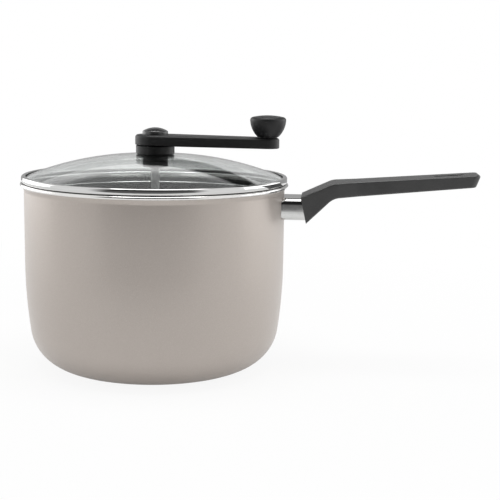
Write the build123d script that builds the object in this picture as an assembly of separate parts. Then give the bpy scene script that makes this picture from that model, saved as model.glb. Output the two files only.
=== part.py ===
from build123d import *

import os
from math import acos, asin, cos, degrees, radians, sin, sqrt

# Stovetop popcorn popper: an aluminium pot with one long handle, a glass lid that
# lifts off, and a hand crank in the lid that turns a wire stirrer over the floor.
# Origin: centre of the flat base. +X runs along the handle, +Z is up. Millimetres.

# ---------------------------------------------------------------- driving sizes
# pot
POT_RADIUS = 121.5          # outside of the straight wall
POT_WALL = 2.0
POT_FLOOR = 3.5
POT_HEIGHT = 174.0          # rim above the base
CORNER_RADIUS = 41.0        # outside arc next to the flat base
SIDE_RADIUS = 450.0         # outside arc between that corner and the wall
BELLY_HEIGHT = 99.0         # where the wall becomes straight
RIM_REACH = 3.4             # how far the rim stands out from the wall
RIM_BEAD = 1.65             # radius of the bead along the rim
RIM_TURN = 50.0             # how far the flare under the bead turns outwards, degrees
BASE_DISC_RADIUS = 70.0
BASE_DISC_THICK = 1.2
BASE_GROOVES = (18.0, 36.0, 54.0)
BASE_GROOVE_WIDTH = 1.6
BASE_GROOVE_DEPTH = 0.4

# handle, ferrule and what holds them: X is measured from the pot's wall, Z from its rim
FERRULE_WIDTH = 42.0
FERRULE_HEIGHT = 20.6
FERRULE_CORNER = 6.0
FERRULE_WALL = 1.0
FERRULE_DROP = 21.2         # its centre line below the rim
HANDLE_FACE_TOP = (16.0, -9.8)      # X, Z of the handle's face on the ferrule
HANDLE_FACE_LOW = (21.1, -34.0)
HANDLE_KNEE_TOP = (44.5, 3.4)
HANDLE_KNEE_LOW = (45.5, -10.6)
HANDLE_END_TOP = (179.5, 13.4)
HANDLE_END_LOW = (175.1, 2.0)
HANDLE_KNEE_TOP_RADIUS = 18.0
HANDLE_KNEE_LOW_RADIUS = 16.0
HANDLE_BLOCK_MARGIN = 1.0   # how far the block stands out beside the ferrule
HANDLE_GRIP_WIDTH = 34.0
HANDLE_TAPER_START = 34.5   # X where the block begins to narrow
HANDLE_TAPER_END = 68.5     # X where it has narrowed to the grip
HANDLE_TAPER_BEND = 40.0    # rounding of that taper seen from above
HANDLE_EDGE = 1.6           # rounding along the upper edges
HANDLE_UNDER_EDGE = 1.4
HANDLE_END_CORNER = 5.0     # rounding of the end seen from above
SLOT_START = 137.0
SLOT_LENGTH = 28.0
SLOT_WIDTH = 9.0
SLOT_EDGE = 0.8
PLUG_LENGTH = 4.0           # how far the handle reaches into the ferrule
PLUG_GAP = 0.2              # round the plug inside the ferrule
HANDLE_SCREW_RADIUS = 3.0
HANDLE_SCREW_HEAD = 5.0
HANDLE_SCREW_HEAD_HEIGHT = 3.6
HANDLE_SCREW_SEAT = 26.0    # X of the floor of its counterbore
HANDLE_SCREW_GRIP = 7.0     # length of thread held by the bracket
SCREW_HEAD_EDGE = 0.8
RECESS_SPAN = 5.0           # cross-shaped holes in the screw heads, tip to tip
RECESS_WIDTH = 1.2
RECESS_DEPTH = 1.2
LOCK_WASHER_THICK = 1.4
LOCK_WASHER_WIDTH = 1.8
LOCK_WASHER_SPLIT = 1.2
BRACKET_PLATE = 2.0
BRACKET_SPAN = 34.0
BRACKET_HEIGHT = 15.0
BRACKET_BOSS_RADIUS = 6.5
BRACKET_BOSS_END = 11.0

# lid
GLASS_EDGE_GAP = 1.2        # between the edge of the glass and the ring
GLASS_THICK = 3.0
GLASS_LAND = 12.0           # radius of the flat land round the hole
DOME_RADIUS = 287.0
HOLE_GAP = 0.6              # round the hub's spigot in the glass
RING_SHY = 1.1              # the ring stops this far inside the rim's edge
RING_THICK = 0.6
RING_LIP = 4.0              # how far the ring reaches in over the glass
RING_LIP_FALL = 0.5         # how much lower the lip's inner edge is
RING_BEND = 1.5
SKIRT_DEPTH = 15.0          # below the rim
SKIRT_HEM = 0.8
SEAL_SHY = 0.7              # the rubber stops this far inside the ring's lip
SEAL_BED = 0.2              # rubber under the edge of the glass
SEAL_COVER = 0.8            # rubber between the glass and the lip
SEAL_CORNER = 1.0

# hub on the glass
HUB_RADIUS = 18.0
HUB_HEIGHT = 7.7
HUB_EDGE = 0.8              # rounding of the hub's lower edge
HUB_TOP_EDGE = 0.4
GASKET_THICK = 0.4
GASKET_RADIUS = 16.0
GASKET_SHY = 0.4            # the lower washer stops this far inside the nut's edge
SPIGOT_RADIUS = 8.0
SPIGOT_SHY = 0.6            # its end stops this far inside the nut
HUB_NUT_RADIUS = 11.8
HUB_NUT_HEIGHT = 8.7
HUB_NUT_CHAMFER = 0.7
BUSH_WALL = 1.3
BUSH_FLANGE_RADIUS = 8.0
BUSH_FLANGE_THICK = 1.0
SPANNER_HOLE_RADIUS = 0.9

# crank
CRANK_REST = -10.0          # degrees from +X
CRANK_LENGTH = 108.0        # shaft axis to knob axis
ARM_THICK = 9.7
ARM_HUB_RADIUS = 18.7
ARM_END_RADIUS = 10.5
ARM_TOP_EDGE = 2.6
ARM_LOW_EDGE = 1.0
THRUST_WASHER_THICK = 0.5
THRUST_WASHER_RADIUS = 9.0
SOCKET_RADIUS = 7.2         # hexagon, centre to corner
SOCKET_HEIGHT = 7.5
SHAFT_RADIUS = 4.0
SHAFT_SQUARE = 6.0
SHAFT_FLOOR_GAP = 5.0       # below the shaft's foot
SHAFT_CHAMFER = 0.6
CRANK_SCREW_RADIUS = 2.0
CRANK_SCREW_LENGTH = 11.0
CRANK_SCREW_HEAD = 4.0
CRANK_SCREW_HEAD_HEIGHT = 2.6
CRANK_WASHER_THICK = 0.6
CRANK_WASHER_RADIUS = 5.5
CAP_RADIUS = 11.9
CAP_SIDE = 2.2
CAP_EDGE = 1.6
CAP_CROWN = 22.0            # radius of its domed top
CAP_PLUG_RADIUS = 10.8
CAP_HOLLOW_RADIUS = 8.4
CLIP_THICK = 0.7
CLIP_RADIUS = 5.8
CLIP_GROOVE = 0.8
CLIP_MOUTH = 4.9            # how wide the clip is open at its side
CLIP_WASHER_THICK = 0.5
CLIP_WASHER_RADIUS = 6.8

# stirrer
STIRRER_HUB_RADIUS = 8.5
STIRRER_HUB_HEIGHT = 14.0
STIRRER_HUB_RISE = 1.0      # above the shaft's foot
STIRRER_HUB_EDGE = 0.8
WIRE_RADIUS = 2.0
WIRE_FLOOR_GAP = 2.0
WIRE_DROP_START = 16.0      # radius where a wire leaves the level of its hole
WIRE_DROP_RUN = 10.0
WIRE_BEND = 7.0
LONG_WIRE_WALL_GAP = 29.5   # from the tip of the long wire to the outside of the wall
LONG_WIRE_TIP = 18.0        # length, seen from above, of its rising tip
LONG_WIRE_RISE = 9.5
SHORT_WIRE_REACH = 60.0
SHORT_WIRE_TIP = 14.0
SHORT_WIRE_RISE = 10.0
SET_SCREW_RADIUS = 2.0

# knob
KNOB_RADIUS = 16.4
KNOB_BASE_RADIUS = 9.4
KNOB_WAIST_IN = 2.8         # a point of the bowl's side: this far inside its widest place
KNOB_WAIST_HEIGHT = 5.4     # and this far up
KNOB_WIDEST = 15.2          # height of the widest place
KNOB_EDGE = 3.0
KNOB_CROWN = 66.0           # radius of its domed top
KNOB_SCREW_SHOULDER = 3.5
KNOB_SCREW_THREAD = 2.5
KNOB_SCREW_HEAD = 6.0
KNOB_SCREW_HEAD_HEIGHT = 2.0
KNOB_BUSH_WALL = 1.4
KNOB_INSERT_RADIUS = 4.2
KNOB_INSERT_LENGTH = 9.5
KNOB_WASHER_THICK = 0.4
KNOB_WASHER_RADIUS = 8.2

# clearances
SEAT_GAP = 0.05             # parts pressed, glued or screwed together
RUN_FIT = 0.05              # radial, a turning shaft in its bush
LOOSE_FIT = 0.3             # radial, a part dropped into a pocket
LID_GAP = 0.3               # ring above the rim
SKIRT_GAP = 0.8             # skirt inside the wall
HUB_PLAY = 0.1              # axial, turning faces
HEAD_PLAY = 0.5             # screw head below the face it is sunk in

# ---------------------------------------------------------------- worked-out places
ring_low = POT_HEIGHT + LID_GAP
ring_radius = POT_RADIUS + RIM_REACH - RING_SHY
ring_lip_inner = ring_radius - RING_LIP
seal_inner = ring_lip_inner + SEAL_SHY
glass_radius = ring_radius - RING_THICK - GLASS_EDGE_GAP
glass_hole_radius = SPIGOT_RADIUS + HOLE_GAP
dome_turn = asin((glass_radius - GLASS_LAND) / DOME_RADIUS)
dome_centre = ring_low + RING_THICK + SEAL_BED - (DOME_RADIUS - GLASS_THICK) * cos(dome_turn)
glass_apex = dome_centre + DOME_RADIUS
glass_at_lip = dome_centre + sqrt(DOME_RADIUS**2 - (ring_lip_inner - GLASS_LAND) ** 2)
lip_under = glass_at_lip + SEAL_COVER
glass_under = glass_apex - GLASS_THICK
hub_low = glass_apex + GASKET_THICK
hub_top = hub_low + HUB_HEIGHT
hub_nut_top = glass_under - GASKET_THICK
hub_nut_low = hub_nut_top - HUB_NUT_HEIGHT
spigot_low = hub_nut_low + SPIGOT_SHY
handle_screw_tip = BRACKET_BOSS_END - HANDLE_SCREW_GRIP
handle_block_width = FERRULE_WIDTH + 2 * HANDLE_BLOCK_MARGIN
above_all = 2 * POT_HEIGHT
flare_cos = cos(radians(RIM_TURN))
flare_radius = (RIM_REACH - RIM_BEAD + POT_WALL / 2 * flare_cos) / (1 - flare_cos)
flare_start = POT_HEIGHT - RIM_BEAD - (flare_radius + POT_WALL / 2) * sin(radians(RIM_TURN))
bush_bore = SHAFT_RADIUS + RUN_FIT
bush_radius = bush_bore + BUSH_WALL
arm_low = hub_top + HUB_PLAY + THRUST_WASHER_THICK
arm_top = arm_low + ARM_THICK
socket_top = arm_low + SOCKET_HEIGHT
knob_low = arm_top + KNOB_WASHER_THICK + 2 * HUB_PLAY
skirt_radius = POT_RADIUS - POT_WALL - SKIRT_GAP - RING_THICK / 2
shaft_foot = POT_FLOOR + SHAFT_FLOOR_GAP
stirrer_hub_low = shaft_foot + STIRRER_HUB_RISE
stirrer_middle = stirrer_hub_low + STIRRER_HUB_HEIGHT / 2
long_wire_reach = POT_RADIUS - LONG_WIRE_WALL_GAP
wire_level = POT_FLOOR + WIRE_FLOOR_GAP + WIRE_RADIUS
clip_low = hub_nut_low - HUB_PLAY - CLIP_WASHER_THICK - SEAT_GAP - CLIP_THICK
knob_seat = arm_low + HEAD_PLAY + KNOB_SCREW_HEAD_HEIGHT
knob_bush_radius = KNOB_SCREW_SHOULDER + RUN_FIT + KNOB_BUSH_WALL


# ---------------------------------------------------------------- shared shapes
def disc(radius, low, high):
    """A round slab on the Z axis between two heights."""
    return Pos(0, 0, low) * extrude(Circle(radius), high - low)


def ring(inner, outer, low, high):
    """A flat ring on the Z axis between two heights."""
    return Pos(0, 0, low) * extrude(Circle(outer) - Circle(inner), high - low)


def turned(profile):
    """A profile drawn as radius and height, turned round the Z axis."""
    return revolve(Plane.XZ * profile, Axis.Z)


def along_x(radius, start, end, height):
    """A round bar along X at a height."""
    return Pos(start, 0, height) * Rot(0, 90, 0) * extrude(Circle(radius), end - start)


def sheet(points, bends, thickness):
    """The section of a bent sheet whose middle line runs through the points."""
    middle = FilletPolyline(*points, radius=bends)
    return make_face(offset(middle, thickness / 2).edges())


def crown_line(start, edge, crown):
    """From the top of an upright side: a rounded shoulder, then a dome up to the axis."""
    turn = degrees(asin((start[0] - edge) / (crown - edge)))
    shoulder = JernArc(start, (0, 1), edge, 90 - turn)
    return [shoulder, JernArc(shoulder @ 1, shoulder % 1, crown, turn)]


def cross_recess():
    """The cross-shaped hole in a screw head, with the head's face at the origin."""
    bar = Box(RECESS_SPAN, RECESS_WIDTH, 2 * RECESS_DEPTH)
    return bar + Rot(0, 0, 90) * bar


def at_wall(shape):
    """Moves a piece drawn from the top of the pot's wall, on the handle's side, to its place."""
    return Pos(POT_RADIUS, 0, POT_HEIGHT) * shape


def at_crank(shape):
    """Turns a piece drawn along +X to where the crank rests."""
    return Rot(0, 0, CRANK_REST) * shape


def at_knob(shape):
    """Moves a piece drawn on the Z axis to the knob's axis."""
    return at_crank(Pos(CRANK_LENGTH, 0, 0) * shape)


# ---------------------------------------------------------------- pot
def bowl_line(floor, wall_radius, corner, side, flare):
    """One face of the pot's section: flat floor, two tangent arcs, wall and flare."""
    turn = acos((BELLY_HEIGHT - floor - corner) / (side - corner))
    flat = wall_radius - side + (side - corner) * sin(turn)
    bottom = Line((0, floor), (flat, floor))
    knee = JernArc(bottom @ 1, bottom % 1, corner, degrees(turn))
    belly = JernArc(knee @ 1, knee % 1, side, 90 - degrees(turn))
    wall = Line(belly @ 1, (wall_radius, flare_start))
    lip = JernArc(wall @ 1, (0, 1), flare, -RIM_TURN)
    return [bottom, knee, belly, wall, lip]


def make_pot_body():
    outside = bowl_line(0, POT_RADIUS, CORNER_RADIUS, SIDE_RADIUS, flare_radius)
    inside = bowl_line(POT_FLOOR, POT_RADIUS - POT_WALL, CORNER_RADIUS - POT_WALL,
                       SIDE_RADIUS - POT_WALL, flare_radius + POT_WALL)
    ends = [Line(outside[-1] @ 1, inside[-1] @ 1), Line((0, 0), (0, POT_FLOOR))]
    wall = make_face(outside + inside + ends)
    bead = Pos(POT_RADIUS + RIM_REACH - RIM_BEAD, POT_HEIGHT - RIM_BEAD) * Circle(RIM_BEAD)
    return turned(wall + bead) - disc(BASE_DISC_RADIUS + SEAT_GAP, 0, BASE_DISC_THICK)


def make_base_disc():
    plate = disc(BASE_DISC_RADIUS, 0, BASE_DISC_THICK)
    for radius in BASE_GROOVES:
        half = BASE_GROOVE_WIDTH / 2
        plate -= ring(radius - half, radius + half, 0, BASE_GROOVE_DEPTH)
    return plate


# ---------------------------------------------------------------- handle
def side_slab(points, width):
    """A flat outline in X and Z, given a width across Y."""
    return extrude(Plane.XZ * make_face(Polyline(*points, close=True).edges()),
                   width / 2, both=True)


def beside_face(shift, reach):
    """Everything on the pot's side of the handle's sloping face, moved by a shift along X."""
    (top_x, top_z), (low_x, low_z) = HANDLE_FACE_TOP, HANDLE_FACE_LOW
    slope = (low_x - top_x) / (low_z - top_z)
    high = top_z + reach
    low = low_z - reach
    corners = [(-FERRULE_WIDTH, high), (top_x + slope * (high - top_z) + shift, high),
               (top_x + slope * (low - top_z) + shift, low), (-FERRULE_WIDTH, low)]
    return side_slab(corners, 2 * handle_block_width)


def ferrule_bar(inset, end):
    """A rounded bar along X with the ferrule's section, drawn in by an inset."""
    section = RectangleRounded(FERRULE_HEIGHT - 2 * inset, FERRULE_WIDTH - 2 * inset,
                               FERRULE_CORNER - inset)
    start = Pos(-FERRULE_WIDTH, 0, -FERRULE_DROP) * Rot(0, 90, 0)
    return start * extrude(section, FERRULE_WIDTH + end)


def make_ferrule():
    tube = ferrule_bar(0, HANDLE_FACE_LOW[0]) - ferrule_bar(FERRULE_WALL, HANDLE_FACE_LOW[0])
    tube &= beside_face(-SEAT_GAP, FERRULE_HEIGHT)
    return at_wall(tube) - disc(POT_RADIUS + SEAT_GAP, 0, POT_HEIGHT)


def make_handle_bracket():
    middle = POT_HEIGHT - FERRULE_DROP
    low = middle - BRACKET_HEIGHT / 2
    band = ring(POT_RADIUS + SEAT_GAP, POT_RADIUS + SEAT_GAP + BRACKET_PLATE,
                low, low + BRACKET_HEIGHT)
    plate = band & (Pos(POT_RADIUS, 0, middle) * Box(BRACKET_SPAN, BRACKET_SPAN, BRACKET_HEIGHT))
    boss = at_wall(along_x(BRACKET_BOSS_RADIUS, 0, BRACKET_BOSS_END, -FERRULE_DROP))
    boss -= disc(POT_RADIUS + SEAT_GAP, 0, POT_HEIGHT)
    bore = along_x(HANDLE_SCREW_RADIUS + SEAT_GAP, handle_screw_tip - HEAD_PLAY,
                   BRACKET_BOSS_END, -FERRULE_DROP)
    return plate + boss - at_wall(bore)


def handle_outline():
    """The handle seen from the side, with its knees rounded."""
    outline = FilletPolyline(HANDLE_FACE_TOP, HANDLE_KNEE_TOP, HANDLE_END_TOP,
                             radius=HANDLE_KNEE_TOP_RADIUS)
    under = FilletPolyline(HANDLE_END_LOW, HANDLE_KNEE_LOW, HANDLE_FACE_LOW,
                           radius=HANDLE_KNEE_LOW_RADIUS)
    face = Line(HANDLE_FACE_LOW, HANDLE_FACE_TOP)
    end = Line(HANDLE_END_TOP, HANDLE_END_LOW)
    return make_face(outline.edges() + under.edges() + [face, end])


def handle_plan():
    """The handle seen from above: a wide block that narrows to the grip."""
    start = HANDLE_FACE_TOP[0] - PLUG_LENGTH
    block = handle_block_width / 2
    grip = HANDLE_GRIP_WIDTH / 2
    end = 2 * HANDLE_END_TOP[0]
    side = [(start, block), (HANDLE_TAPER_START, block), (HANDLE_TAPER_END, grip), (end, grip)]
    points = side + [(x, -y) for x, y in reversed(side)]
    face = make_face(Polyline(*points, close=True).edges())
    columns = face.vertices().group_by(Axis.X)
    return fillet(columns[1] + columns[2], HANDLE_TAPER_BEND)


def off_middle(edge):
    """Whether an edge lies beside the handle's middle, and doesn't cross it."""
    return abs(edge.center().Y) > SLOT_WIDTH / 2


def long_edges(solid, side):
    """The handle's edges along its top (side 1) or underside (side -1), round the end too."""
    found = []
    for face in solid.faces():
        if side * face.normal_at().Z > sin(radians(45)):
            found += [edge for edge in face.edges()
                      if off_middle(edge) or edge.center().X > SLOT_START]
    return ShapeList(found)


def make_handle():
    grip = extrude(Plane.XZ * handle_outline(), handle_block_width, both=True)
    grip &= extrude(handle_plan(), above_all, both=True)
    end_face = grip.faces().sort_by(Axis.X)[-1]
    grip = fillet([edge for edge in end_face.edges() if off_middle(edge)], HANDLE_END_CORNER)
    grip = fillet(long_edges(grip, 1), HANDLE_EDGE)
    grip = fillet(long_edges(grip, -1), HANDLE_UNDER_EDGE)

    slot_middle = SLOT_START + SLOT_LENGTH / 2
    before = grip.edges()
    slot = extrude(SlotOverall(SLOT_LENGTH, SLOT_WIDTH), above_all, both=True)
    grip -= Pos(slot_middle, 0, 0) * slot
    cut = [edge for edge in grip.edges() if edge not in before]
    mouths = [edge for edge in cut if abs(edge.tangent_at(0.5).Z) < sin(radians(45))]
    grip = fillet(mouths, SLOT_EDGE)

    plug = ferrule_bar(FERRULE_WALL + PLUG_GAP, HANDLE_SCREW_SEAT)
    plug &= beside_face(LOOSE_FIT, FERRULE_HEIGHT)
    grip += plug - beside_face(-PLUG_LENGTH, FERRULE_HEIGHT)
    grip -= along_x(HANDLE_SCREW_RADIUS + LOOSE_FIT, 0, HANDLE_SCREW_SEAT, -FERRULE_DROP)
    return at_wall(grip - along_x(HANDLE_SCREW_HEAD + LOOSE_FIT, HANDLE_SCREW_SEAT,
                                  HANDLE_TAPER_END, -FERRULE_DROP))


def make_handle_lock_washer():
    inner = HANDLE_SCREW_RADIUS + LOOSE_FIT / 2
    outer = inner + LOCK_WASHER_WIDTH
    washer = ring(inner, outer, 0, LOCK_WASHER_THICK)
    washer -= Pos(outer, 0, 0) * Box(2 * outer, LOCK_WASHER_SPLIT, 2 * LOCK_WASHER_THICK)
    return at_wall(Pos(HANDLE_SCREW_SEAT, 0, -FERRULE_DROP) * Rot(0, 90, 0) * washer)


def make_handle_screw():
    seat = HANDLE_SCREW_SEAT + LOCK_WASHER_THICK
    head = along_x(HANDLE_SCREW_HEAD, seat, seat + HANDLE_SCREW_HEAD_HEIGHT, -FERRULE_DROP)
    head = fillet(head.edges().group_by(Axis.X)[-1], SCREW_HEAD_EDGE)
    shank = along_x(HANDLE_SCREW_RADIUS, handle_screw_tip, seat, -FERRULE_DROP)
    face = Pos(seat + HANDLE_SCREW_HEAD_HEIGHT, 0, -FERRULE_DROP) * Rot(0, 90, 0)
    return at_wall(head + shank - face * cross_recess())


# ---------------------------------------------------------------- lid
def glass_section():
    """The pressed glass: a flat land round the hole, then an even dome."""
    over = Line((glass_hole_radius, glass_apex), (GLASS_LAND, glass_apex))
    dome = JernArc(over @ 1, (1, 0), DOME_RADIUS, -degrees(dome_turn))
    under = Line((glass_hole_radius, glass_under), (GLASS_LAND, glass_under))
    inside = JernArc(under @ 1, (1, 0), DOME_RADIUS - GLASS_THICK, -degrees(dome_turn))
    ends = [Line(over @ 0, under @ 0), Line(dome @ 1, inside @ 1)]
    return make_face([over, dome, under, inside] + ends)


def make_lid_glass():
    return turned(glass_section())


def make_lid_ring():
    band = ring_radius - RING_THICK / 2
    lip = lip_under + RING_THICK / 2
    shelf = ring_low + RING_THICK / 2
    foot = (skirt_radius, POT_HEIGHT - SKIRT_DEPTH)
    path = [(ring_lip_inner, lip), (band, lip + RING_LIP_FALL), (band, shelf),
            (skirt_radius, shelf), foot]
    hem = Pos(*foot) * Circle(SKIRT_HEM)
    return turned(sheet(path, RING_BEND, RING_THICK) + hem)


def make_glass_seal():
    outer = ring_radius - RING_THICK - SEAT_GAP
    low = ring_low + RING_THICK + SEAT_GAP
    high = lip_under - SEAT_GAP
    shoulder = outer - SEAL_CORNER
    points = [(seal_inner, high), (shoulder, high), (outer, high - SEAL_CORNER),
              (outer, low + SEAL_CORNER), (shoulder, low), (seal_inner, low)]
    strip = make_face(Polyline(*points, close=True).edges())
    return turned(strip) - turned(glass_section())


# ---------------------------------------------------------------- hub in the glass
def make_hub_housing():
    head = disc(HUB_RADIUS, hub_low, hub_top)
    head = fillet(head.edges().group_by(Axis.Z)[0], HUB_EDGE)
    head = fillet(head.edges().group_by(Axis.Z)[-1], HUB_TOP_EDGE)
    housing = head + disc(SPIGOT_RADIUS, spigot_low, hub_low)
    housing -= disc(bush_radius + SEAT_GAP, spigot_low, hub_top)
    return housing - disc(BUSH_FLANGE_RADIUS + LOOSE_FIT, hub_top - BUSH_FLANGE_THICK, hub_top)


def make_hub_gasket_upper():
    return ring(glass_hole_radius, GASKET_RADIUS, glass_apex, hub_low)


def make_hub_gasket_lower():
    return ring(glass_hole_radius, HUB_NUT_RADIUS - GASKET_SHY, hub_nut_top, glass_under)


def make_hub_nut():
    nut = ring(SPIGOT_RADIUS + SEAT_GAP, HUB_NUT_RADIUS, hub_nut_low, hub_nut_top)
    rim = nut.edges().group_by(Axis.Z)[0].sort_by(SortBy.RADIUS)[-1]
    nut = chamfer(rim, HUB_NUT_CHAMFER)
    middle = (SPIGOT_RADIUS + HUB_NUT_RADIUS) / 2
    for place in PolarLocations(middle, 4):
        nut -= place * Pos(0, 0, hub_nut_low) * extrude(Circle(SPANNER_HOLE_RADIUS),
                                                        HUB_NUT_HEIGHT / 2)
    return nut


def make_hub_bush():
    flange = ring(bush_bore, BUSH_FLANGE_RADIUS, hub_top - BUSH_FLANGE_THICK, hub_top)
    return flange + ring(bush_bore, bush_radius, spigot_low, hub_top - BUSH_FLANGE_THICK)


# ---------------------------------------------------------------- crank
def make_crank_arm():
    rounds = Circle(ARM_HUB_RADIUS) + Pos(CRANK_LENGTH, 0) * Circle(ARM_END_RADIUS)
    outline = make_hull(rounds.edges())
    arm = Pos(0, 0, arm_low) * extrude(outline, ARM_THICK)
    arm = fillet(arm.edges().group_by(Axis.Z)[-1], ARM_TOP_EDGE)
    arm = fillet(arm.edges().group_by(Axis.Z)[0], ARM_LOW_EDGE)
    hexagon = RegularPolygon(SOCKET_RADIUS + SEAT_GAP, 6)
    arm -= Pos(0, 0, arm_low) * extrude(hexagon, SOCKET_HEIGHT)
    arm -= disc(CAP_PLUG_RADIUS + SEAT_GAP, socket_top, arm_top)
    head_pocket = disc(KNOB_SCREW_HEAD + LOOSE_FIT, arm_low, knob_seat)
    bush_bore_in_arm = disc(knob_bush_radius + SEAT_GAP, knob_seat, arm_top)
    return at_crank(arm - Pos(CRANK_LENGTH, 0, 0) * (head_pocket + bush_bore_in_arm))


def make_crank_socket():
    socket = Pos(0, 0, arm_low) * extrude(RegularPolygon(SOCKET_RADIUS, 6), SOCKET_HEIGHT)
    return at_crank(socket - Pos(0, 0, arm_low) * extrude(
        Rectangle(SHAFT_SQUARE + 2 * SEAT_GAP, SHAFT_SQUARE + 2 * SEAT_GAP), SOCKET_HEIGHT))


def make_thrust_washer():
    return ring(SHAFT_RADIUS + LOOSE_FIT, THRUST_WASHER_RADIUS, hub_top + HUB_PLAY, arm_low)


def make_crank_washer():
    return ring(CRANK_SCREW_RADIUS + LOOSE_FIT, CRANK_WASHER_RADIUS, socket_top,
                socket_top + CRANK_WASHER_THICK)


def make_crank_screw():
    seat = socket_top + CRANK_WASHER_THICK
    head = disc(CRANK_SCREW_HEAD, seat, seat + CRANK_SCREW_HEAD_HEIGHT)
    head = fillet(head.edges().group_by(Axis.Z)[-1], SCREW_HEAD_EDGE)
    screw = head + disc(CRANK_SCREW_RADIUS, seat - CRANK_SCREW_LENGTH, seat)
    return at_crank(screw - Pos(0, 0, seat + CRANK_SCREW_HEAD_HEIGHT) * cross_recess())


def make_crank_cap():
    side = Line((CAP_RADIUS, arm_top), (CAP_RADIUS, arm_top + CAP_SIDE))
    crown = crown_line((CAP_RADIUS, arm_top + CAP_SIDE), CAP_EDGE, CAP_CROWN)
    plug_low = socket_top + HEAD_PLAY
    under = Polyline(crown[-1] @ 1, (0, plug_low), (CAP_PLUG_RADIUS, plug_low),
                     (CAP_PLUG_RADIUS, arm_top), (CAP_RADIUS, arm_top))
    cap = turned(make_face([side] + crown + under.edges()))
    return cap - disc(CAP_HOLLOW_RADIUS, plug_low, arm_top + CAP_SIDE)


def make_stirrer_shaft():
    shaft = disc(SHAFT_RADIUS, shaft_foot, arm_low)
    shaft = chamfer(shaft.edges().group_by(Axis.Z)[0], SHAFT_CHAMFER)
    square = Pos(0, 0, arm_low) * extrude(Rectangle(SHAFT_SQUARE, SHAFT_SQUARE),
                                          SOCKET_HEIGHT - HEAD_PLAY)
    shaft += square
    shaft -= disc(CRANK_SCREW_RADIUS + SEAT_GAP, socket_top - CRANK_SCREW_LENGTH, socket_top)
    groove = ring(SHAFT_RADIUS - CLIP_GROOVE, 2 * SHAFT_RADIUS, clip_low - SEAT_GAP,
                  clip_low + CLIP_THICK + SEAT_GAP)
    return at_crank(shaft - groove)


def make_clip_washer():
    return ring(SHAFT_RADIUS + LOOSE_FIT, CLIP_WASHER_RADIUS, clip_low + CLIP_THICK + SEAT_GAP,
                clip_low + CLIP_THICK + SEAT_GAP + CLIP_WASHER_THICK)


def make_shaft_clip():
    inner = SHAFT_RADIUS - CLIP_GROOVE + SEAT_GAP
    clip = ring(inner, CLIP_RADIUS, clip_low, clip_low + CLIP_THICK)
    mouth = Pos(CLIP_RADIUS, 0, clip_low) * Box(2 * CLIP_RADIUS, CLIP_MOUTH, 2 * CLIP_THICK)
    return at_crank(clip - mouth)


# ---------------------------------------------------------------- stirrer
def make_stirrer_hub():
    high = stirrer_hub_low + STIRRER_HUB_HEIGHT
    hub = disc(STIRRER_HUB_RADIUS, stirrer_hub_low, high)
    hub = fillet(hub.edges(), STIRRER_HUB_EDGE)
    hub -= disc(SHAFT_RADIUS + SEAT_GAP, stirrer_hub_low, high)
    hub -= along_x(WIRE_RADIUS + SEAT_GAP, -STIRRER_HUB_RADIUS, STIRRER_HUB_RADIUS, stirrer_middle)
    hub -= Rot(0, 0, 90) * along_x(SET_SCREW_RADIUS + SEAT_GAP, 0, STIRRER_HUB_RADIUS,
                                   stirrer_middle)
    return at_crank(hub)


def wire(reach, tip, rise):
    """A bent stirring wire: out of the hub, down to the floor, along it and up at its tip."""
    drop_end = WIRE_DROP_START + WIRE_DROP_RUN
    path = FilletPolyline((SHAFT_RADIUS + SEAT_GAP, 0, stirrer_middle),
                          (WIRE_DROP_START, 0, stirrer_middle), (drop_end, 0, wire_level),
                          (reach - tip, 0, wire_level), (reach, 0, wire_level + rise),
                          radius=WIRE_BEND)
    section = Plane(path @ 0, z_dir=path % 0) * Circle(WIRE_RADIUS)
    return sweep(section, path=path)


def make_stirrer_wire_long():
    return at_crank(wire(long_wire_reach, LONG_WIRE_TIP, LONG_WIRE_RISE))


def make_stirrer_wire_short():
    return at_crank(Rot(0, 0, 180) * wire(SHORT_WIRE_REACH, SHORT_WIRE_TIP, SHORT_WIRE_RISE))


def make_stirrer_set_screw():
    screw = along_x(SET_SCREW_RADIUS, SHAFT_RADIUS + SEAT_GAP, STIRRER_HUB_RADIUS - HEAD_PLAY,
                    stirrer_middle)
    key = Pos(STIRRER_HUB_RADIUS, 0, stirrer_middle) * Rot(0, 90, 0) * extrude(
        RegularPolygon(SET_SCREW_RADIUS / 2, 6), SET_SCREW_RADIUS, both=True)
    return at_crank(Rot(0, 0, 90) * (screw - key))


# ---------------------------------------------------------------- knob
def make_knob():
    base = (KNOB_BASE_RADIUS, knob_low)
    waist = (KNOB_RADIUS - KNOB_WAIST_IN, knob_low + KNOB_WAIST_HEIGHT)
    widest = (KNOB_RADIUS, knob_low + KNOB_WIDEST)
    bowl = ThreePointArc(base, waist, widest)
    crown = crown_line(widest, KNOB_EDGE, KNOB_CROWN)
    under = Polyline(crown[-1] @ 1, (0, knob_low), base)
    body = turned(make_face([bowl] + crown + under.edges()))
    body -= disc(KNOB_INSERT_RADIUS + SEAT_GAP, knob_low, knob_low + KNOB_INSERT_LENGTH)
    return at_knob(body)


def make_knob_insert():
    high = knob_low + KNOB_INSERT_LENGTH
    return at_knob(ring(KNOB_SCREW_THREAD + SEAT_GAP, KNOB_INSERT_RADIUS, knob_low, high))


def make_knob_screw():
    head_low = knob_seat - KNOB_SCREW_HEAD_HEIGHT
    head = disc(KNOB_SCREW_HEAD, head_low, knob_seat)
    head = fillet(head.edges().group_by(Axis.Z)[0], SCREW_HEAD_EDGE)
    screw = head + disc(KNOB_SCREW_SHOULDER, knob_seat, knob_low)
    screw += disc(KNOB_SCREW_THREAD, knob_low, knob_low + KNOB_INSERT_LENGTH - HEAD_PLAY)
    return at_knob(screw - Pos(0, 0, head_low) * cross_recess())


def make_knob_bush():
    return at_knob(ring(KNOB_SCREW_SHOULDER + RUN_FIT, knob_bush_radius,
                        knob_seat + HUB_PLAY, arm_top))


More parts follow.
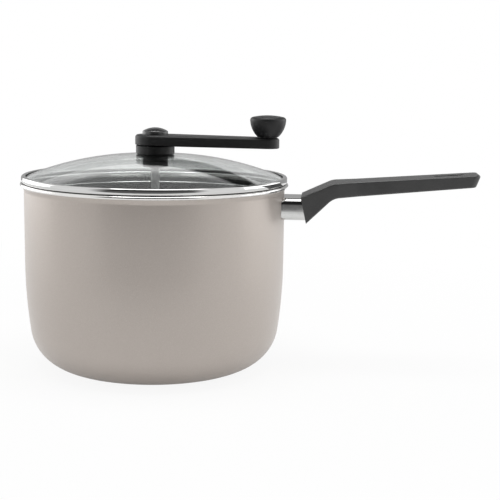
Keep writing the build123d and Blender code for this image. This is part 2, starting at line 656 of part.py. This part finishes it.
def make_knob_washer():
    low = arm_top + HUB_PLAY
    return at_knob(ring(KNOB_SCREW_SHOULDER + LOOSE_FIT, KNOB_WASHER_RADIUS, low,
                        low + KNOB_WASHER_THICK))


NODES = {
    "pot_body": make_pot_body,
    "base_disc": make_base_disc,
    "ferrule": make_ferrule,
    "handle_bracket": make_handle_bracket,
    "handle": make_handle,
    "handle_lock_washer": make_handle_lock_washer,
    "handle_screw": make_handle_screw,
    "lid_glass": make_lid_glass,
    "lid_ring": make_lid_ring,
    "glass_seal": make_glass_seal,
    "hub_housing": make_hub_housing,
    "hub_gasket_upper": make_hub_gasket_upper,
    "hub_gasket_lower": make_hub_gasket_lower,
    "hub_nut": make_hub_nut,
    "hub_bush": make_hub_bush,
    "crank_arm": make_crank_arm,
    "crank_socket": make_crank_socket,
    "thrust_washer": make_thrust_washer,
    "crank_washer": make_crank_washer,
    "crank_screw": make_crank_screw,
    "crank_cap": make_crank_cap,
    "stirrer_shaft": make_stirrer_shaft,
    "clip_washer": make_clip_washer,
    "shaft_clip": make_shaft_clip,
    "stirrer_hub": make_stirrer_hub,
    "stirrer_wire_long": make_stirrer_wire_long,
    "stirrer_wire_short": make_stirrer_wire_short,
    "stirrer_set_screw": make_stirrer_set_screw,
    "knob": make_knob,
    "knob_insert": make_knob_insert,
    "knob_screw": make_knob_screw,
    "knob_bush": make_knob_bush,
    "knob_washer": make_knob_washer,
}

if __name__ == "__main__":
    os.makedirs("parts", exist_ok=True)
    for name, make in NODES.items():
        export_step(make(), f"parts/{name}.step")
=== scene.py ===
import math

import bmesh
import bpy
from mathutils import Matrix, Quaternion, Vector


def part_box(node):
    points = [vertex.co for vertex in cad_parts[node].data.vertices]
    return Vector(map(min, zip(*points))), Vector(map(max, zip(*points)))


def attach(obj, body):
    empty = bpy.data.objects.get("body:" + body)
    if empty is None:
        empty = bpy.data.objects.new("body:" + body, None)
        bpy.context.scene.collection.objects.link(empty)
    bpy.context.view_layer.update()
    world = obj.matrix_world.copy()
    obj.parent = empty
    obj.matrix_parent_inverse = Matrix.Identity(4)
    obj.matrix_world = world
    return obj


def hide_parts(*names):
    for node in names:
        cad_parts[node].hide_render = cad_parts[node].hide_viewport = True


# Looks for a stovetop popcorn popper: a coated pot with a long handle, a glass lid and a
# hand crank. Metres. The origin is the centre of the pot's base, +X runs along the handle.

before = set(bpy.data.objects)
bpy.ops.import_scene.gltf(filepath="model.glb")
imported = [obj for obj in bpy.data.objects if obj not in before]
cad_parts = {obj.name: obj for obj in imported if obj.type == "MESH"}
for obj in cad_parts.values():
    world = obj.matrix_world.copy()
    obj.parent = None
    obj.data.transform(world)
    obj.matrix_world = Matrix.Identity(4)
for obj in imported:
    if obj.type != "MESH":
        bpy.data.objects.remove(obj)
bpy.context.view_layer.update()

# ---------------------------------------------------------------- places from the frame
_, pot_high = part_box("pot_body")
RIM_RADIUS = pot_high.x
RIM_TOP = pot_high.z

# sizes of the pot's section, for telling its coated, inner and bare faces apart
RIM_REACH = 0.0034          # how far the rim stands out from the wall
RIM_TURN = math.radians(50)  # how far the flare under the bead turns outwards
RIM_BEAD = 0.00165          # radius of the bead along the rim
BEAD_MARGIN = 1.03          # reach of its bare metal, as a share of that radius
POT_WALL = 0.002
POT_FLOOR = 0.0035
CORNER_RADIUS = 0.041       # outside arc next to the flat base
SIDE_RADIUS = 0.450         # outside arc between that corner and the wall
BELLY_HEIGHT = 0.099        # where the wall becomes straight
FLARE_RADIUS = 0.0077       # of the middle of the sheet

# the hanging slot's walls, with a hair's breadth round them, where a painted shade goes
SLOT_MIDDLE = 0.2725
SLOT_HALF_LENGTH = 0.01405
SLOT_HALF_WIDTH = 0.00455

# sizes of the lid's glass and ring
GLASS_THICK = 0.003
GLASS_LAND = 0.012          # radius of the flat land round the hole
GLASS_HOLE = 0.0086         # its radius
DOME_RADIUS = 0.287
RING_THICK = 0.0006
RING_LIP = 0.004            # how far the ring reaches in over the glass
RING_LIP_FALL = 0.0005      # how much lower the lip's inner edge is
RING_LIP_TOP = 0.18017      # height of that edge
RING_BEND = 0.0015          # radius of the middle of the sheet
LIP_BEND_REACH = 1.13       # the lip's bend turns a little more than the others
LID_GAP = 0.0003            # ring above the rim
SKIRT_RADIUS = 0.1187       # its outside
SKIRT_FOOT = 0.163          # height of the middle of its hem
SKIRT_HEM = 0.0008          # the hem's radius
TURN_STEPS = 240            # faces round the axis
DOME_STEPS = 48             # faces from the land to the edge of the glass
BEND_STEPS = 8              # faces along a bend of the ring
HEM_STEPS = 20
SHARP_ANGLE = math.radians(40)  # steeper edges than this aren't smoothed

# camera, from the photograph's outlines
CAMERA_PLACE = Vector((0.1653, -1.0766, 0.2878))
CAMERA_AIM = Vector((0.0896, 0.0063, 0.1100))
CAMERA_LENS = 83.5
SENSOR_WIDTH = 36.0
CAMERA_ROLL = math.radians(0.76)

# light
SKY_LEVEL = 0.50            # what the surroundings give to dull surfaces
FLOOR_GLOW = 0.90           # share of plain white in the floor as it is seen, near the pot
FLOOR_FADE = (0.20, 0.75)   # distances between which that share grows to all of it
FLOOR_SHADE = (0.08, 0.16)  # distances between which the pot's shade shows in its reflection
FLOOR_SHADED = 0.3          # how much of it is left under the pot
FLOOR_SIZE = 60.0
CARD_MIDDLE = 0.2           # where a card starts to grow lighter, as a share of its width
CARD_FOOT = 0.15            # how far its foot goes, as a share of its height


# ---------------------------------------------------------------- node helpers
def add(tree, kind, **settings):
    """Adds a shader node with these properties."""
    made = tree.nodes.new(kind)
    for name, value in settings.items():
        setattr(made, name, value)
    return made


def feed(tree, value, socket):
    """Sets a socket to a number or colour, or links another node's output to it."""
    if isinstance(value, bpy.types.NodeSocket):
        tree.links.new(value, socket)
    else:
        socket.default_value = value


def calc(tree, operation, *values):
    """A Math node's result."""
    made = add(tree, "ShaderNodeMath", operation=operation)
    for socket, value in zip(made.inputs, values):
        feed(tree, value, socket)
    return made.outputs[0]


def spread(tree, value, low, high, new_low, new_high):
    """Maps a value from one range to another, eased at both ends."""
    made = add(tree, "ShaderNodeMapRange", interpolation_type="SMOOTHSTEP")
    for name, number in (("Value", value), ("From Min", low), ("From Max", high),
                         ("To Min", new_low), ("To Max", new_high)):
        feed(tree, number, made.inputs[name])
    return made.outputs[0]


def blend(tree, mask, first, second):
    """A colour between two others, by a mask."""
    made = add(tree, "ShaderNodeMix", data_type="RGBA")
    # the node's sockets for colours come after those for numbers and vectors
    feed(tree, mask, made.inputs[0])
    feed(tree, first, made.inputs[6])
    feed(tree, second, made.inputs[7])
    return made.outputs[2]


def noise(tree, vector, scale, detail=2.0, roughness=0.5):
    """A noise pattern's value."""
    made = add(tree, "ShaderNodeTexNoise")
    feed(tree, vector, made.inputs["Vector"])
    feed(tree, scale, made.inputs["Scale"])
    made.inputs["Detail"].default_value = detail
    made.inputs["Roughness"].default_value = roughness
    return made.outputs["Fac"]


def object_place(tree):
    """The place on the object, in metres."""
    return add(tree, "ShaderNodeTexCoord").outputs["Object"]


def polar(tree, centre=(0.0, 0.0, 0.0)):
    """Radius and height about an upright axis, and the angle round it."""
    shifted = add(tree, "ShaderNodeVectorMath", operation="SUBTRACT")
    feed(tree, object_place(tree), shifted.inputs[0])
    shifted.inputs[1].default_value = centre
    parts = add(tree, "ShaderNodeSeparateXYZ")
    feed(tree, shifted.outputs[0], parts.inputs[0])
    across, along, up = parts.outputs
    radius = calc(tree, "SQRT", calc(tree, "ADD", calc(tree, "MULTIPLY", across, across),
                                     calc(tree, "MULTIPLY", along, along)))
    return radius, up, calc(tree, "ARCTAN2", along, across)


def colour(red, green, blue):
    """A colour as a screen shows it, 0 to 255, as the shader wants it."""
    def straight(value):
        share = value / 255
        return share / 12.92 if share <= 0.04045 else ((share + 0.055) / 1.055) ** 2.4
    return (straight(red), straight(green), straight(blue), 1.0)


# ---------------------------------------------------------------- shared effects
def new_effect(name, inputs, outputs):
    """An empty node group with named number inputs and outputs of the kinds given."""
    group = bpy.data.node_groups.new(name, "ShaderNodeTree")
    for label, value in inputs.items():
        socket = group.interface.new_socket(label, in_out="INPUT", socket_type="NodeSocketFloat")
        socket.default_value = value
    for label, kind in outputs.items():
        group.interface.new_socket(label, in_out="OUTPUT", socket_type=kind)
    return group, add(group, "NodeGroupInput"), add(group, "NodeGroupOutput")


def make_moulded_grain():
    """The fine pebbled skin of moulded plastic, rubber or a baked coating."""
    group, given, out = new_effect(
        "moulded_grain", {"Grain": 0.0006, "Depth": 0.00002},
        {"Normal": "NodeSocketVector"})
    scale = calc(group, "DIVIDE", 1.0, given.outputs["Grain"])
    height = noise(group, object_place(group), scale, detail=3.0, roughness=0.6)
    bump = add(group, "ShaderNodeBump")
    feed(group, height, bump.inputs["Height"])
    feed(group, given.outputs["Depth"], bump.inputs["Distance"])
    feed(group, bump.outputs[0], out.inputs["Normal"])
    return group


def make_handling():
    """Broad uneven gloss from touch and washing."""
    group, given, out = new_effect(
        "handling", {"Patch": 0.03, "Low": 0.3, "High": 0.4},
        {"Roughness": "NodeSocketFloat", "Patch": "NodeSocketFloat"})
    scale = calc(group, "DIVIDE", 1.0, given.outputs["Patch"])
    patches = noise(group, object_place(group), scale, detail=5.0, roughness=0.62)
    gloss = spread(group, patches, 0.3, 0.7, given.outputs["Low"], given.outputs["High"])
    feed(group, gloss, out.inputs["Roughness"])
    feed(group, patches, out.inputs["Patch"])
    return group


def make_turned_lines():
    """The fine rings that a lathe or a polishing wheel leaves round an upright axis."""
    drift = 0.0015          # how much a line changes along its way round
    group, given, out = new_effect(
        "turned_lines", {"Pitch": 0.0004, "Depth": 0.000004},
        {"Normal": "NodeSocketVector", "Lines": "NodeSocketFloat"})
    radius, height, angle = polar(group)
    place = add(group, "ShaderNodeCombineXYZ")
    feed(group, radius, place.inputs[0])
    feed(group, height, place.inputs[1])
    feed(group, calc(group, "MULTIPLY", angle, drift), place.inputs[2])
    scale = calc(group, "DIVIDE", 1.0, given.outputs["Pitch"])
    lines = noise(group, place.outputs[0], scale, detail=4.0, roughness=0.65)
    bump = add(group, "ShaderNodeBump")
    feed(group, lines, bump.inputs["Height"])
    feed(group, given.outputs["Depth"], bump.inputs["Distance"])
    feed(group, bump.outputs[0], out.inputs["Normal"])
    feed(group, lines, out.inputs["Lines"])
    return group


EFFECTS = {
    "moulded_grain": make_moulded_grain(),
    "handling": make_handling(),
    "turned_lines": make_turned_lines(),
}


def effect(tree, name, **values):
    """Places a shared effect in a material with its own values."""
    made = add(tree, "ShaderNodeGroup", node_tree=EFFECTS[name])
    for label, value in values.items():
        feed(tree, value, made.inputs[label])
    return made.outputs


# ---------------------------------------------------------------- materials
def new_material(name, **plain):
    """A material with a Principled shader, and its plain values set on the shader's sockets."""
    material = bpy.data.materials.new(name)
    material.use_nodes = True
    shader = material.node_tree.nodes["Principled BSDF"]
    for label, value in plain.items():
        shader.inputs[label.replace("_", " ")].default_value = value
    return material, material.node_tree, shader


def pot_masks(tree):
    """Masks for the pot's inside and for the bare bead along its rim."""
    radius, height, _ = polar(tree)
    wall = RIM_RADIUS - RIM_REACH - POT_WALL / 2
    turn = math.acos((BELLY_HEIGHT - CORNER_RADIUS) / (SIDE_RADIUS - CORNER_RADIUS))
    flat = wall + POT_WALL / 2 - SIDE_RADIUS + (SIDE_RADIUS - CORNER_RADIUS) * math.sin(turn)
    floor_middle = POT_FLOOR / 2
    knee = CORNER_RADIUS - POT_WALL / 2

    below = calc(tree, "MAXIMUM", calc(tree, "SUBTRACT", BELLY_HEIGHT, height), 0.0)
    drawn_in = calc(tree, "DIVIDE", calc(tree, "MULTIPLY", below, below), 2 * SIDE_RADIUS)
    within_wall = calc(tree, "LESS_THAN", radius, calc(tree, "SUBTRACT", wall, drawn_in))

    out = calc(tree, "MAXIMUM", calc(tree, "SUBTRACT", radius, flat), 0.0)
    down = calc(tree, "MAXIMUM", calc(tree, "SUBTRACT", floor_middle + knee, height), 0.0)
    reach = calc(tree, "SQRT", calc(tree, "ADD", calc(tree, "MULTIPLY", out, out),
                                    calc(tree, "MULTIPLY", down, down)))
    above_knee = calc(tree, "GREATER_THAN", height, BELLY_HEIGHT - SIDE_RADIUS * math.cos(turn))
    within_knee = calc(tree, "MAXIMUM", calc(tree, "LESS_THAN", reach, knee), above_knee)

    flare_height = RIM_TOP - RIM_BEAD - FLARE_RADIUS * math.sin(RIM_TURN)
    over = calc(tree, "SUBTRACT", radius, wall + FLARE_RADIUS)
    above = calc(tree, "SUBTRACT", height, flare_height)
    swing = calc(tree, "SQRT", calc(tree, "ADD", calc(tree, "MULTIPLY", over, over),
                                    calc(tree, "MULTIPLY", above, above)))
    in_flare = calc(tree, "MULTIPLY", calc(tree, "GREATER_THAN", height, flare_height),
                    calc(tree, "GREATER_THAN", swing, FLARE_RADIUS))
    straight = calc(tree, "LESS_THAN", height, flare_height)
    inside = calc(tree, "MULTIPLY", calc(tree, "MULTIPLY", within_wall, within_knee), straight)
    inside = calc(tree, "MAXIMUM", inside, in_flare)

    bead_out = calc(tree, "SUBTRACT", radius, RIM_RADIUS - RIM_BEAD)
    bead_up = calc(tree, "SUBTRACT", height, RIM_TOP - RIM_BEAD)
    from_bead = calc(tree, "SQRT", calc(tree, "ADD", calc(tree, "MULTIPLY", bead_out, bead_out),
                                        calc(tree, "MULTIPLY", bead_up, bead_up)))
    bead = calc(tree, "LESS_THAN", from_bead, BEAD_MARGIN * RIM_BEAD)
    return inside, bead


def make_pot_coating():
    """Satin greige coating outside, dark non-stick inside and a bare polished rim."""
    flakes_per_metre = 2600.0
    pearl = 0.5             # how metallic the outer coating looks
    bead_polish = 0.24      # how much smoother the bare bead is
    lacquer = 0.25          # strength of the clear layer over the coating
    material, tree, shader = new_material(
        "pot_coating", Coat_Roughness=0.22, Coat_IOR=1.45, IOR=1.45)
    inside, bead = pot_masks(tree)
    outside = calc(tree, "SUBTRACT", 1.0, inside)
    coated = calc(tree, "SUBTRACT", 1.0, bead)
    gloss = effect(tree, "handling", Patch=0.06, Low=0.36, High=0.42)
    grain = effect(tree, "moulded_grain", Grain=0.0009, Depth=0.000006)
    flakes = noise(tree, object_place(tree), flakes_per_metre, detail=1.0)
    outer = blend(tree, spread(tree, flakes, 0.35, 0.75, 0.0, 1.0),
                  colour(182, 173, 166), colour(194, 186, 179))
    inner = blend(tree, spread(tree, flakes, 0.62, 0.72, 0.0, 1.0),
                  colour(36, 36, 36), colour(54, 54, 53))
    shade = blend(tree, bead, blend(tree, inside, outer, inner), colour(226, 225, 223))
    metal = calc(tree, "MAXIMUM", calc(tree, "MULTIPLY", outside, pearl), bead)
    rough = calc(tree, "SUBTRACT", gloss["Roughness"], calc(tree, "MULTIPLY", bead, bead_polish))
    feed(tree, shade, shader.inputs["Base Color"])
    feed(tree, metal, shader.inputs["Metallic"])
    feed(tree, rough, shader.inputs["Roughness"])
    feed(tree, calc(tree, "MULTIPLY", coated, lacquer), shader.inputs["Coat Weight"])
    feed(tree, grain["Normal"], shader.inputs["Normal"])
    return material


def make_metal(name, shade, rough, pitch, depth):
    """A turned or polished metal with faint lines and uneven gloss."""
    line_shade = 0.88
    material, tree, shader = new_material(name, Metallic=1.0)
    lines = effect(tree, "turned_lines", Pitch=pitch, Depth=depth)
    gloss = effect(tree, "handling", Patch=0.02, Low=rough[0], High=rough[1])
    darker = tuple(line_shade * part for part in shade[:3]) + (1.0,)
    feed(tree, blend(tree, spread(tree, lines["Lines"], 0.3, 0.7, 0.0, 1.0), darker, shade),
         shader.inputs["Base Color"])
    feed(tree, gloss["Roughness"], shader.inputs["Roughness"])
    feed(tree, lines["Normal"], shader.inputs["Normal"])
    return material


def painted_slot_shade_mask(tree):
    """Marks the walls of the hanging slot, where a painted shade stands for the shade they lie in.
    """
    parts = add(tree, "ShaderNodeSeparateXYZ")
    feed(tree, object_place(tree), parts.inputs[0])
    along = calc(tree, "ABSOLUTE", calc(tree, "SUBTRACT", parts.outputs[0], SLOT_MIDDLE))
    across = calc(tree, "ABSOLUTE", parts.outputs[1])
    return calc(tree, "MULTIPLY", calc(tree, "LESS_THAN", along, SLOT_HALF_LENGTH),
                calc(tree, "LESS_THAN", across, SLOT_HALF_WIDTH))


def make_plastic(name, shades, rough, pebble, depth, shine=0.4, painted_slot_shade=False):
    """A moulded plastic: pebbled skin, slightly cloudy colour and uneven gloss, with painted shade
    on the hanging slot's walls if asked.
    """
    material, tree, shader = new_material(name, IOR=1.5, Specular_IOR_Level=shine)
    grain = effect(tree, "moulded_grain", Grain=pebble, Depth=depth)
    gloss = effect(tree, "handling", Patch=0.025, Low=rough[0], High=rough[1])
    shade = blend(tree, spread(tree, gloss["Patch"], 0.3, 0.7, 0.0, 1.0), *shades)
    if painted_slot_shade:
        # painted shade: the slot's walls are coloured near black because they lie in shade
        shade = blend(tree, painted_slot_shade_mask(tree), shade, colour(10, 10, 10))
    feed(tree, shade, shader.inputs["Base Color"])
    feed(tree, gloss["Roughness"], shader.inputs["Roughness"])
    feed(tree, grain["Normal"], shader.inputs["Normal"])
    return material


def make_lid_glass():
    """Clear pressed glass. Light reaches the pot through it, which its shadow rays let pass."""
    material, tree, shader = new_material("lid_glass", Transmission_Weight=1.0, IOR=1.5)
    wipes = effect(tree, "handling", Patch=0.04, Low=0.0, High=0.012)
    tint = blend(tree, wipes["Patch"], colour(247, 250, 249), colour(252, 254, 253))
    feed(tree, tint, shader.inputs["Base Color"])
    feed(tree, wipes["Roughness"], shader.inputs["Roughness"])
    clear = add(tree, "ShaderNodeBsdfTransparent")
    clear.inputs[0].default_value = colour(236, 240, 239)
    paths = add(tree, "ShaderNodeLightPath")
    mix = add(tree, "ShaderNodeMixShader")
    unseen = calc(tree, "MAXIMUM", paths.outputs["Is Shadow Ray"], paths.outputs["Is Diffuse Ray"])
    feed(tree, unseen, mix.inputs[0])
    feed(tree, shader.outputs[0], mix.inputs[1])
    feed(tree, clear.outputs[0], mix.inputs[2])
    feed(tree, mix.outputs[0], tree.nodes["Material Output"].inputs["Surface"])
    return material


FINISHES = {
    "pot_coating": make_pot_coating(),
    "base_steel": make_metal(
        "base_steel", colour(205, 204, 202), rough=(0.28, 0.36), pitch=0.0007, depth=0.00001),
    "polished_steel": make_metal(
        "polished_steel", colour(212, 212, 211), rough=(0.03, 0.06), pitch=0.0005,
        depth=0.0000008),
    "lid_glass": make_lid_glass(),
    "seal_rubber": make_plastic(
        "seal_rubber", (colour(48, 48, 49), colour(62, 62, 63)), rough=(0.5, 0.62),
        pebble=0.0007, depth=0.00001),
    "handle_plastic": make_plastic(
        "handle_plastic", (colour(50, 50, 50), colour(58, 58, 58)), rough=(0.38, 0.46),
        pebble=0.0008, depth=0.00005, shine=0.75, painted_slot_shade=True),
    "crank_plastic": make_plastic(
        "crank_plastic", (colour(22, 22, 23), colour(28, 28, 29)), rough=(0.42, 0.50),
        pebble=0.0007, depth=0.000018),
    "cap_plastic": make_plastic(
        "cap_plastic", (colour(30, 30, 31), colour(36, 36, 37)), rough=(0.26, 0.32),
        pebble=0.0009, depth=0.000004, shine=0.9),
    "bush_plastic": make_plastic(
        "bush_plastic", (colour(196, 192, 182), colour(210, 206, 196)), rough=(0.4, 0.5),
        pebble=0.0009, depth=0.00001),
    "steel_parts": make_metal(
        "steel_parts", colour(172, 172, 171), rough=(0.36, 0.44), pitch=0.0005,
        depth=0.000004),
    "brass_insert": make_metal(
        "brass_insert", colour(214, 186, 122), rough=(0.22, 0.32), pitch=0.0005,
        depth=0.000004),
}


def dress_nodes():
    """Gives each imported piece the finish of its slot."""
    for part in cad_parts.values():
        for place in part.material_slots:
            place.material = FINISHES[place.material.name.split(".")[0]]


# ---------------------------------------------------------------- the lid's turned pieces
def finished(shape, name, body, slot, *nodes):
    """Makes a bmesh an object that rides on a body and stands for the CAD nodes."""
    mesh = bpy.data.meshes.new(name)
    shape.to_mesh(mesh)
    shape.free()
    mesh.shade_smooth()
    mesh.set_sharp_from_angle(angle=SHARP_ANGLE)
    mesh.materials.append(FINISHES[slot])
    piece = bpy.data.objects.new(name, mesh)
    bpy.context.scene.collection.objects.link(piece)
    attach(piece, body)
    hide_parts(*nodes)
    return piece


def turn(shape, line, merge):
    """Turns a section's line round the Z axis."""
    bmesh.ops.spin(shape, geom=line, cent=(0.0, 0.0, 0.0), axis=(0.0, 0.0, 1.0),
                   angle=2 * math.pi, steps=TURN_STEPS, use_merge=True)
    bmesh.ops.remove_doubles(shape, verts=shape.verts[:], dist=merge)
    bmesh.ops.recalc_face_normals(shape, faces=shape.faces[:])


def turn_sheet(shape, thickness):
    """Turns the line of a sheet's outer face and gives the sheet its thickness inwards."""
    turn(shape, shape.verts[:] + shape.edges[:], merge=1e-6)
    top = max(shape.faces, key=lambda face: face.calc_center_median().z)
    top.normal_update()
    if top.normal.z < 0:
        bmesh.ops.reverse_faces(shape, faces=shape.faces[:])
    bmesh.ops.solidify(shape, geom=shape.faces[:], thickness=thickness)


def make_dome():
    """The pressed glass: a flat land round its hole and an even dome, of one thickness."""
    _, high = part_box("lid_glass")
    centre = high.z - DOME_RADIUS
    dome_turn = math.asin((high.x - GLASS_LAND) / DOME_RADIUS)
    shape = bmesh.new()
    start = shape.verts.new((GLASS_LAND, 0.0, high.z))
    bmesh.ops.spin(shape, geom=[start], cent=(GLASS_LAND, 0.0, centre), axis=(0.0, 1.0, 0.0),
                   angle=dome_turn, steps=DOME_STEPS)
    shape.edges.new((start, shape.verts.new((GLASS_HOLE, 0.0, high.z))))
    turn_sheet(shape, GLASS_THICK)
    return finished(shape, "glass_dome", "lid", "lid_glass", "lid_glass")


def make_ring():
    """The lid's ring: one bent sheet from the lip over the glass to the skirt in the pot."""
    _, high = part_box("lid_ring")
    shelf = RIM_TOP + LID_GAP
    shape = bmesh.new()
    places = [(high.x - RING_LIP, RING_LIP_TOP), (high.x, RING_LIP_TOP + RING_LIP_FALL),
              (high.x, shelf), (SKIRT_RADIUS, shelf), (SKIRT_RADIUS, SKIRT_FOOT)]
    corners = [shape.verts.new((radius, 0.0, height)) for radius, height in places]
    for first, second in zip(corners, corners[1:]):
        shape.edges.new((first, second))
    outer = RING_BEND + RING_THICK / 2
    inner = RING_BEND - RING_THICK / 2
    for corner, reach in zip(corners[1:4], (LIP_BEND_REACH * outer, outer, inner)):
        bmesh.ops.bevel(shape, geom=[corner], offset=reach, offset_type="OFFSET",
                        segments=BEND_STEPS, profile=0.5, affect="VERTICES", material=-1)
    turn_sheet(shape, RING_THICK)

    hem = bmesh.ops.create_circle(shape, segments=HEM_STEPS, radius=SKIRT_HEM)["verts"]
    bmesh.ops.rotate(shape, verts=hem, cent=(0.0, 0.0, 0.0),
                     matrix=Matrix.Rotation(math.pi / 2, 3, "X"))
    bmesh.ops.translate(shape, verts=hem, vec=(SKIRT_RADIUS - RING_THICK / 2, 0.0, SKIRT_FOOT))
    line = {edge for point in hem for edge in point.link_edges}
    turn(shape, hem + list(line), merge=1e-7)
    return finished(shape, "bent_ring", "lid", "polished_steel", "lid_ring")


# ---------------------------------------------------------------- surroundings
def seen_ray(tree):
    """1 where a surface is seen straight, in a reflection or through glass."""
    paths = add(tree, "ShaderNodeLightPath").outputs
    seen = calc(tree, "MAXIMUM", paths["Is Camera Ray"], paths["Is Glossy Ray"])
    return calc(tree, "MAXIMUM", seen, paths["Is Transmission Ray"])


def studio_sheet(name, width, height):
    """A flat sheet of the surroundings, and the empty node tree of its material."""
    shape = bmesh.new()
    bmesh.ops.create_grid(shape, x_segments=1, y_segments=1, size=0.5)
    bmesh.ops.scale(shape, vec=(width, height, 1.0), verts=shape.verts)
    mesh = bpy.data.meshes.new(name)
    shape.to_mesh(mesh)
    shape.free()
    material = bpy.data.materials.new(name)
    material.use_nodes = True
    tree = material.node_tree
    tree.nodes.remove(tree.nodes["Principled BSDF"])
    mesh.materials.append(material)
    sheet = bpy.data.objects.new(name, mesh)
    bpy.context.scene.collection.objects.link(sheet)
    return sheet, tree


def make_floor():
    """A wide pale floor that keeps the pot's shadow."""
    floor, tree = studio_sheet("floor", FLOOR_SIZE, FLOOR_SIZE)
    dull = add(tree, "ShaderNodeBsdfDiffuse")
    dull.inputs["Color"].default_value = colour(244, 244, 244)
    glow = add(tree, "ShaderNodeEmission")
    mix = add(tree, "ShaderNodeMixShader")
    radius, _, _ = polar(tree)
    share = calc(tree, "MULTIPLY", seen_ray(tree),
                 spread(tree, radius, *FLOOR_FADE, FLOOR_GLOW, 1.0))
    direct = add(tree, "ShaderNodeLightPath").outputs["Is Camera Ray"]
    shaded = spread(tree, radius, *FLOOR_SHADE, FLOOR_SHADED, 1.0)
    shown = calc(tree, "MAXIMUM", direct, shaded)
    feed(tree, calc(tree, "MULTIPLY", share, shown), mix.inputs[0])
    feed(tree, dull.outputs[0], mix.inputs[1])
    feed(tree, glow.outputs[0], mix.inputs[2])
    feed(tree, mix.outputs[0], tree.nodes["Material Output"].inputs["Surface"])


def make_sky():
    """White surroundings as they are seen, and a plain soft level of light from them."""
    world = bpy.data.worlds.new("studio")
    bpy.context.scene.world = world
    world.use_nodes = True
    tree = world.node_tree
    level = calc(tree, "ADD", SKY_LEVEL, calc(tree, "MULTIPLY", seen_ray(tree), 1.0 - SKY_LEVEL))
    feed(tree, level, tree.nodes["Background"].inputs["Strength"])
    tree.nodes["Background"].inputs["Color"].default_value = (1.0, 1.0, 1.0, 1.0)


def aimed(place, target):
    """The turn that points an object's -Z axis from a place to a target."""
    return (Vector(target) - Vector(place)).to_track_quat("-Z", "Y")


def softbox(name, place, target, width, height, level):
    """A rectangular lamp whose face has an even brightness."""
    lamp = bpy.data.lights.new(name, "AREA")
    lamp.shape = "RECTANGLE"
    lamp.size = width
    lamp.size_y = height
    # a brightness of 1 takes pi watts for each square metre
    lamp.energy = level * math.pi * width * height
    box = bpy.data.objects.new(name, lamp)
    box.location = place
    box.rotation_mode = "QUATERNION"
    box.rotation_quaternion = aimed(place, target)
    bpy.context.scene.collection.objects.link(box)


def dark_card(name, place, target, width, height, shade, foot_shade):
    """A dark panel that only shows in reflections. It grows lighter to its sides and foot."""
    card, tree = studio_sheet(name, width, height)
    card.location = place
    card.rotation_mode = "QUATERNION"
    card.rotation_quaternion = aimed(place, target)
    parts = add(tree, "ShaderNodeSeparateXYZ")
    feed(tree, object_place(tree), parts.inputs[0])
    beside = spread(tree, calc(tree, "ABSOLUTE", parts.outputs[0]),
                    CARD_MIDDLE * width, 0.5 * width, 0.0, 1.0)
    level = spread(tree, parts.outputs[1],
                   -0.5 * height, (CARD_FOOT - 0.5) * height, foot_shade, shade)
    glow = add(tree, "ShaderNodeEmission")
    feed(tree, calc(tree, "MAXIMUM", level, beside), glow.inputs["Strength"])
    feed(tree, glow.outputs[0], tree.nodes["Material Output"].inputs["Surface"])
    card.visible_camera = False
    card.visible_diffuse = False
    card.visible_shadow = False
    card.visible_transmission = False


def make_lights():
    """A soft lamp above and one at each side, and cards for the polished pieces to reflect."""
    pot = (0.05, 0.0, 0.12)
    lid = (0.1, 0.0, 0.18)
    softbox("top_softbox", (0.05, -0.1, 1.4), pot, width=1.0, height=0.6, level=5.0)
    softbox("left_softbox", (-1.4, 0.65, 0.42), pot, width=1.7, height=0.9, level=1.5)
    softbox("right_softbox", (1.5, 0.65, 0.42), pot, width=1.7, height=0.9, level=1.5)
    dark_card("front_card", (0.1, -0.95, 0.931), (0.1, 0.0, 0.931), width=2.4, height=1.8,
              shade=0.02, foot_shade=0.16)
    dark_card("top_card", (0.1, 0.60, 0.95), lid, width=2.4, height=0.55,
              shade=0.05, foot_shade=0.6)
    dark_card("back_card", (0.1, 1.5, 0.45), (0.1, 0.0, 0.45), width=4.0, height=0.9,
              shade=0.40, foot_shade=0.40)


def make_camera():
    """The camera at the photograph's viewing angle."""
    data = bpy.data.cameras.new("camera")
    data.lens = CAMERA_LENS
    data.sensor_width = SENSOR_WIDTH
    camera = bpy.data.objects.new("camera", data)
    camera.location = CAMERA_PLACE
    camera.rotation_mode = "QUATERNION"
    roll = Quaternion((0.0, 0.0, 1.0), CAMERA_ROLL)
    camera.rotation_quaternion = aimed(CAMERA_PLACE, CAMERA_AIM) @ roll
    bpy.context.scene.collection.objects.link(camera)
    bpy.context.scene.camera = camera


bpy.context.scene.view_settings.view_transform = "Standard"
dress_nodes()
make_dome()
make_ring()
make_floor()
make_sky()
make_lights()
make_camera()
